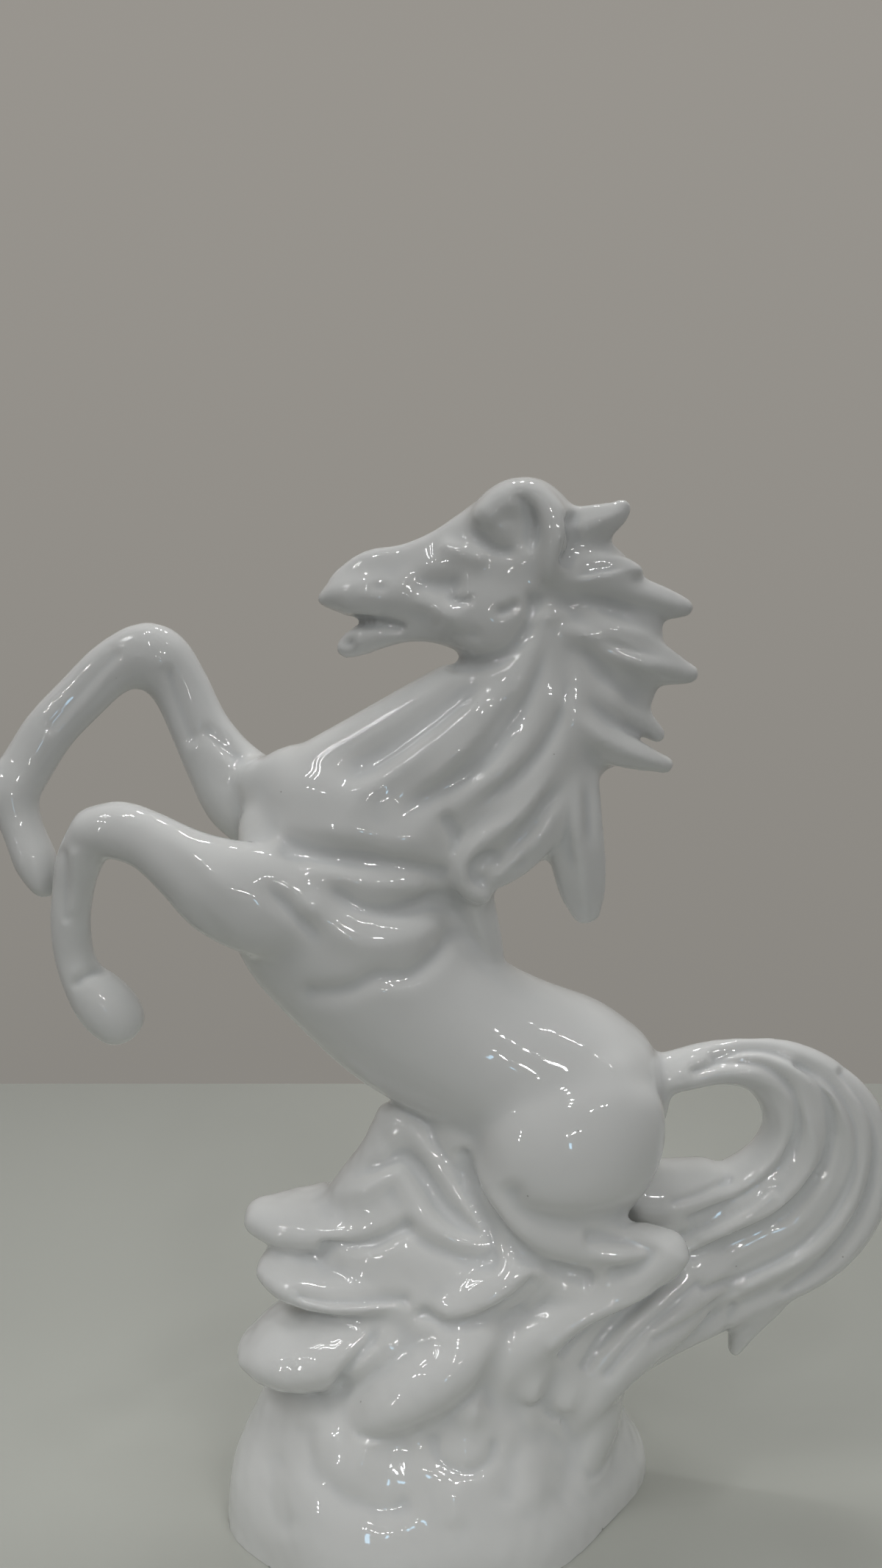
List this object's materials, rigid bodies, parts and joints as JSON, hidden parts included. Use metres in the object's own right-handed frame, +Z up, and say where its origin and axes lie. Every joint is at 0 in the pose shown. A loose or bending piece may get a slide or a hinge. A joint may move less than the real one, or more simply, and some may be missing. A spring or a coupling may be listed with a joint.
{
  "type": "porcelain horse figurine",
  "caption": "White glazed porcelain figurine of a rearing horse with a flying mane and a looped tail, seated on a hollow rock base with an unglazed foot ring.",
  "frame": {"origin": "centre of the overall box, on the plane of the foot ring that the figurine stands on", "axes": "+Z up; the horse faces -X; its left side, which the picture shows, looks along -Y"},
  "size_m": [0.223, 0.0848, 0.2491],
  "materials": {
    "glazed_body": "gloss",
    "glazed_hair": "gloss",
    "glazed_base": "gloss"
  },
  "bodies": {
    "root": {"rock_mound": "glazed_base", "trunk": "glazed_body", "neck": "glazed_body", "head": "glazed_body", "lower_jaw": "glazed_body", "left_ear": "glazed_body", "right_ear": "glazed_body", "forelock": "glazed_hair", "left_foreleg": "glazed_body", "right_foreleg": "glazed_body", "left_hind_leg": "glazed_body", "right_hind_leg": "glazed_body", "mane_crest": "glazed_hair", "mane_left_strands": "glazed_hair", "mane_right_strands": "glazed_hair", "mane_left_curl": "glazed_hair", "mane_right_curl": "glazed_hair", "mane_drop_lock": "glazed_hair", "mane_wither_lock": "glazed_hair", "tail": "glazed_hair", "tail_lock": "glazed_hair", "rock_crag": "glazed_base", "rock_upper_ledge": "glazed_base", "rock_middle_ledge": "glazed_base", "rock_boulder": "glazed_base", "rock_left_slab": "glazed_base", "rock_front_slab": "glazed_base", "rock_back_slab": "glazed_base"}
  },
  "joints": []
}
